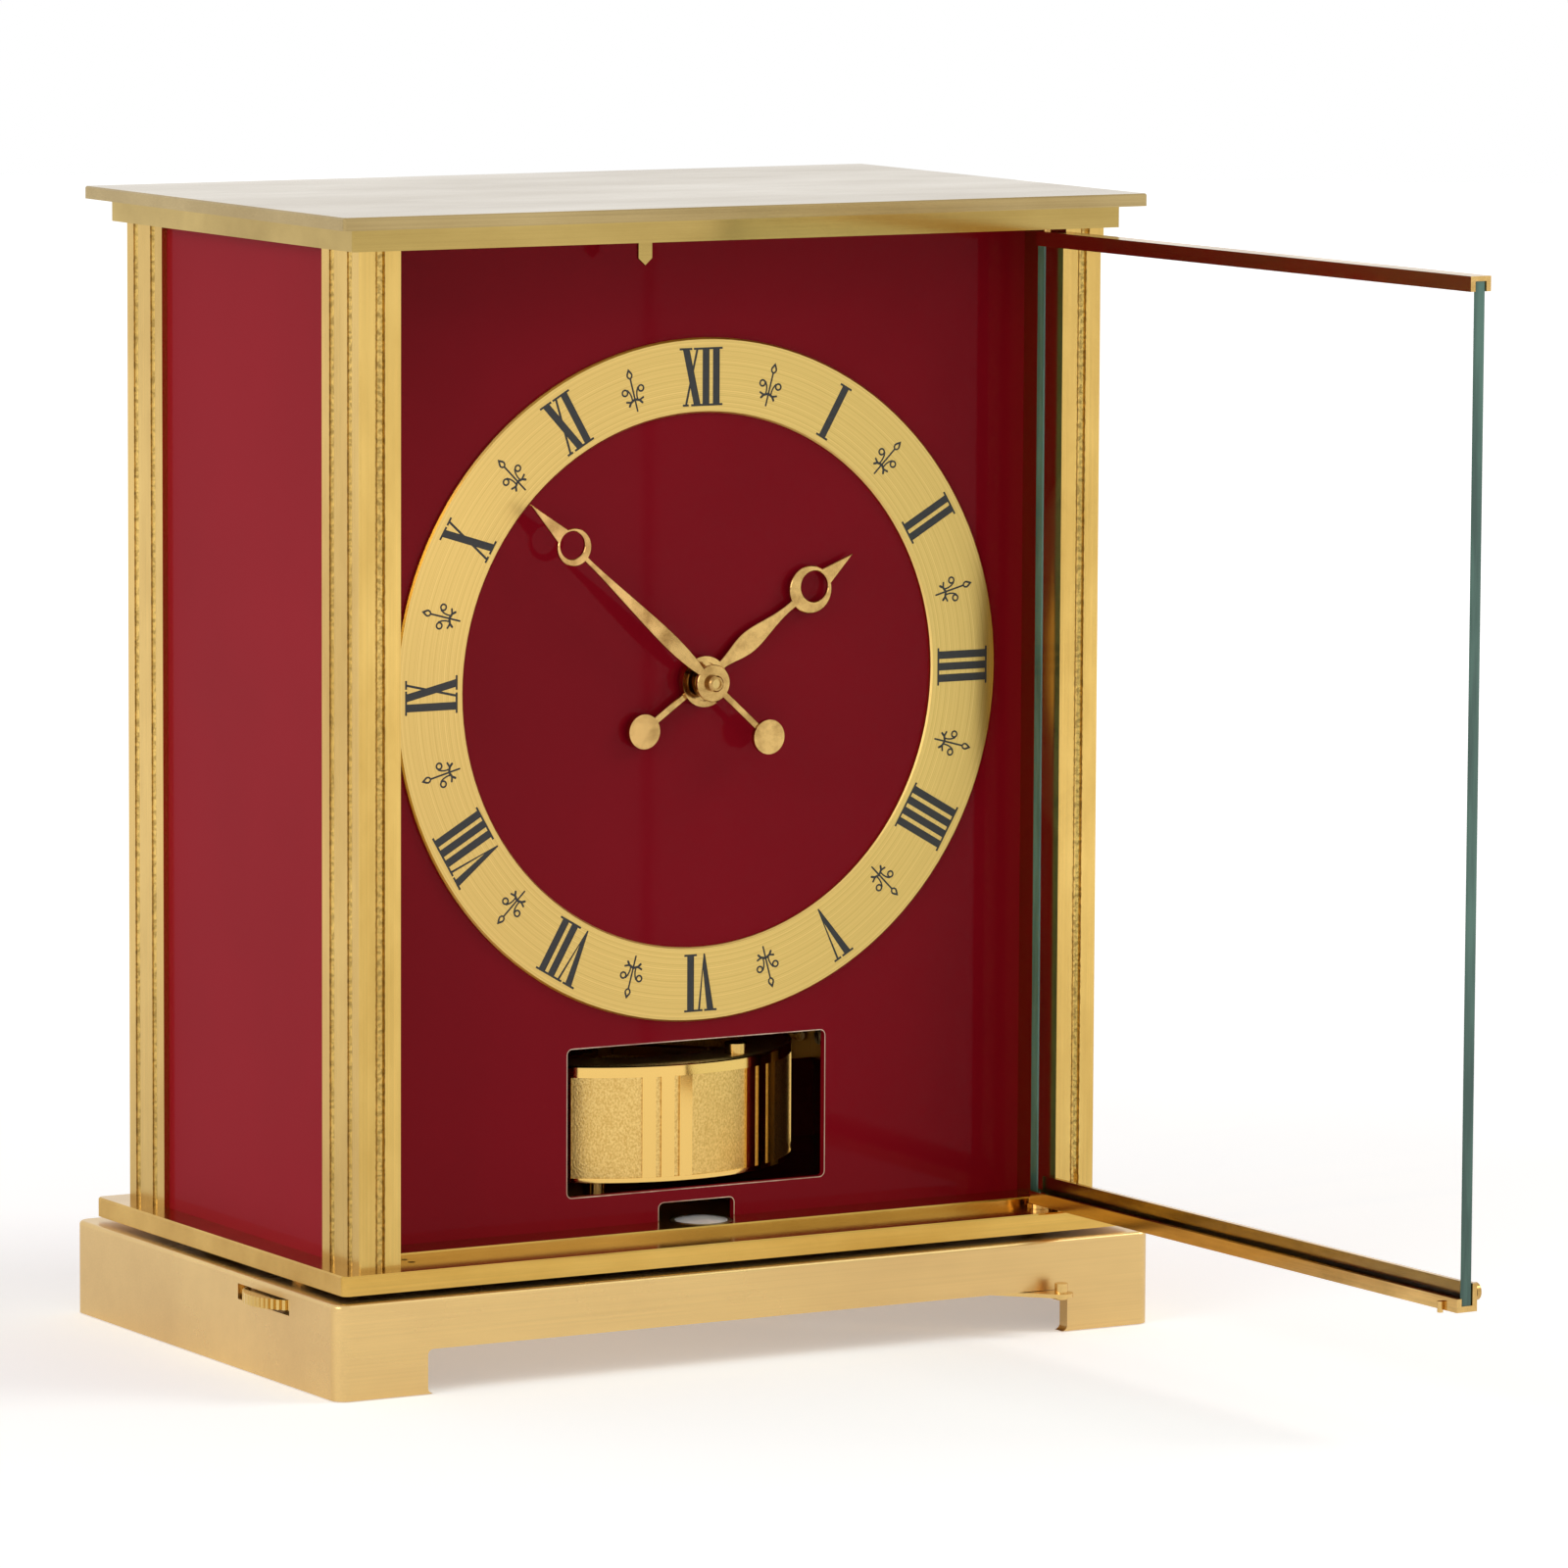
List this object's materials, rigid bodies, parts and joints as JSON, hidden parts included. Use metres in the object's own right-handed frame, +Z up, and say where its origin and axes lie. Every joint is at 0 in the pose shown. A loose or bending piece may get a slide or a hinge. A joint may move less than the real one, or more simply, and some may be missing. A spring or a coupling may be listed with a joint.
{
  "type": "atmospheric clock",
  "caption": "Mantel clock in a brass case with red lacquer panels, an open hinged glass door, a numeral ring, hands and a torsion pendulum behind a window.",
  "frame": {"origin": "centre of the plinth's footprint, on the surface the clock stands on", "axes": "+X to the clock's right as seen from the front, +Y to its back, +Z up"},
  "size_m": [0.197, 0.2593, 0.235],
  "materials": {
    "brass_case": "satin",
    "brass_polished": "polished",
    "red_lacquer": "high gloss lacquer",
    "chapter_brass": "brushed",
    "black_filling": "satin",
    "gilt_hands": "polished",
    "pendulum_brass": "polished and grained",
    "door_glass": "polished",
    "level_glass": "polished",
    "steel": "satin",
    "movement_brass": "satin"
  },
  "bodies": {
    "case": {"back_left_post": "brass_case", "back_panel": "red_lacquer", "back_panel_brackets": "movement_brass", "back_panel_screws": "brass_polished", "back_right_post": "brass_case", "bellows_capsule": "movement_brass", "bellows_drum": "movement_brass", "bellows_spring": "steel", "chapter_ring": "chapter_brass", "dial_plate": "red_lacquer", "door_stop": "brass_polished", "drum_pillars": "movement_brass", "floor_plate": "brass_case", "frame_screws": "steel", "frieze_plate": "brass_case", "front_left_post": "brass_case", "front_right_post": "brass_case", "half_hour_marks": "black_filling", "hour_numerals": "black_filling", "left_side_panel": "red_lacquer", "level_cup": "brass_polished", "level_lens": "level_glass", "movement_back_plate": "movement_brass", "movement_front_plate": "movement_brass", "movement_pillars": "movement_brass", "plinth": "brass_case", "rear_rest_pads": "movement_brass", "right_side_panel": "red_lacquer", "support_columns": "movement_brass", "suspension_head": "movement_brass", "suspension_tube": "movement_brass", "top_plate": "brass_case"},
    "door": {"door_top_channel": "brass_polished", "door_bottom_channel": "brass_polished", "door_glass": "door_glass", "door_knob": "brass_polished", "door_pins": "brass_polished"},
    "minute_arbor": {"minute_hand": "gilt_hands", "hand_nut": "gilt_hands", "cannon_pinion": "movement_brass", "centre_wheel": "movement_brass"},
    "hour_pipe": {"hour_hand": "gilt_hands", "hour_wheel": "movement_brass"},
    "minute_wheel": {"minute_wheel": "movement_brass"},
    "escape_arbor": {"escape_wheel": "movement_brass"},
    "barrel": {"mainspring_barrel": "movement_brass"},
    "anchor": {"anchor_fork": "steel"},
    "bellows_push": {"push_plate": "movement_brass", "winding_chain": "steel"},
    "pulley": {"guide_pulley": "movement_brass"},
    "winding_arbor": {"winding_drum": "movement_brass"},
    "pendulum": {"pendulum_ring": "pendulum_brass", "pendulum_carrier": "pendulum_brass", "pendulum_weights": "pendulum_brass", "pendulum_arbor": "pendulum_brass", "suspension_wire": "steel"},
    "lock_lever": {"lock_lever": "brass_polished"},
    "lock_plunger": {"lock_plunger": "brass_polished"},
    "left_wheel": {"left_levelling_wheel": "brass_polished"},
    "right_wheel": {"right_levelling_wheel": "brass_polished"}
  },
  "joints": [
    {"name": "door_hinge", "type": "hinge", "parent": "case", "child": "door", "pos_m": [0.074, -0.0492, 0.126], "axis": [0, 0, 1], "range_deg": [-92, 2]},
    {"name": "minute_turn", "type": "hinge", "parent": "case", "child": "minute_arbor", "pos_m": [0, -0.03, 0.137], "axis": [0, 1, 0], "continuous": true},
    {"name": "hour_turn", "type": "hinge", "parent": "case", "child": "hour_pipe", "pos_m": [0, -0.034, 0.137], "axis": [0, 1, 0], "continuous": true},
    {"name": "minute_wheel_turn", "type": "hinge", "parent": "case", "child": "minute_wheel", "pos_m": [-0.01039, -0.027, 0.131], "axis": [0, 1, 0], "continuous": true},
    {"name": "escape_turn", "type": "hinge", "parent": "case", "child": "escape_arbor", "pos_m": [0, -0.011, 0.1145], "axis": [0, 1, 0], "continuous": true},
    {"name": "barrel_turn", "type": "hinge", "parent": "case", "child": "barrel", "pos_m": [-0.011, -0.016, 0.15489], "axis": [0, 1, 0], "continuous": true},
    {"name": "anchor_swing", "type": "hinge", "parent": "case", "child": "anchor", "pos_m": [0, -0.009, 0.0981], "axis": [0, 1, 0], "range_deg": [-3, 3]},
    {"name": "bellows_slide", "type": "slide", "parent": "case", "child": "bellows_push", "axis": [0, 1, 0], "range_m": [-0.0015, 0.0015], "stiffness_N_per_m": 400, "deforming": ["bellows_capsule", "bellows_spring", "winding_chain"]},
    {"name": "pulley_turn", "type": "hinge", "parent": "case", "child": "pulley", "pos_m": [-0.006, 0.003, 0.1405], "axis": [1, 0, 0], "range_deg": [-24, 24]},
    {"name": "winding_turn", "type": "hinge", "parent": "case", "child": "winding_arbor", "pos_m": [-0.011, -0.003, 0.15489], "axis": [0, 1, 0], "range_deg": [-18, 18]},
    {"name": "pendulum_turn", "type": "hinge", "parent": "case", "child": "pendulum", "pos_m": [0, 0.0076, 0.06], "axis": [0, 0, 1], "range_deg": [-270, 270], "stiffness_Nm_per_rad": 0.0000032},
    {"name": "lock_lever_turn", "type": "hinge", "parent": "case", "child": "lock_lever", "pos_m": [0.034, -0.028, 0.0085], "axis": [0, 0, 1], "range_deg": [-22, 0]},
    {"name": "lock_plunger_slide", "type": "slide", "parent": "case", "child": "lock_plunger", "axis": [0, 0, 1], "range_m": [-0.002, 0]},
    {"name": "left_wheel_turn", "type": "hinge", "parent": "case", "child": "left_wheel", "pos_m": [-0.086, -0.0273, 0.016], "axis": [0, 0, 1], "range_deg": [-450, 450]},
    {"name": "right_wheel_turn", "type": "hinge", "parent": "case", "child": "right_wheel", "pos_m": [0.086, -0.0273, 0.016], "axis": [0, 0, 1], "range_deg": [-450, 450]}
  ],
  "couplings": [
    {"joint": "hour_turn", "follows": "minute_turn", "ratio": 0.083333},
    {"joint": "minute_wheel_turn", "follows": "minute_turn", "ratio": -0.33333},
    {"joint": "escape_turn", "follows": "minute_turn", "ratio": -4},
    {"joint": "barrel_turn", "follows": "minute_turn", "ratio": -0.16667},
    {"joint": "pulley_turn", "follows": "bellows_slide", "rad_per_m": 273.97},
    {"joint": "winding_turn", "follows": "bellows_slide", "rad_per_m": 200},
    {"joint": "lock_plunger_slide", "follows": "lock_lever_turn", "m_per_rad": 0.0052}
  ]
}
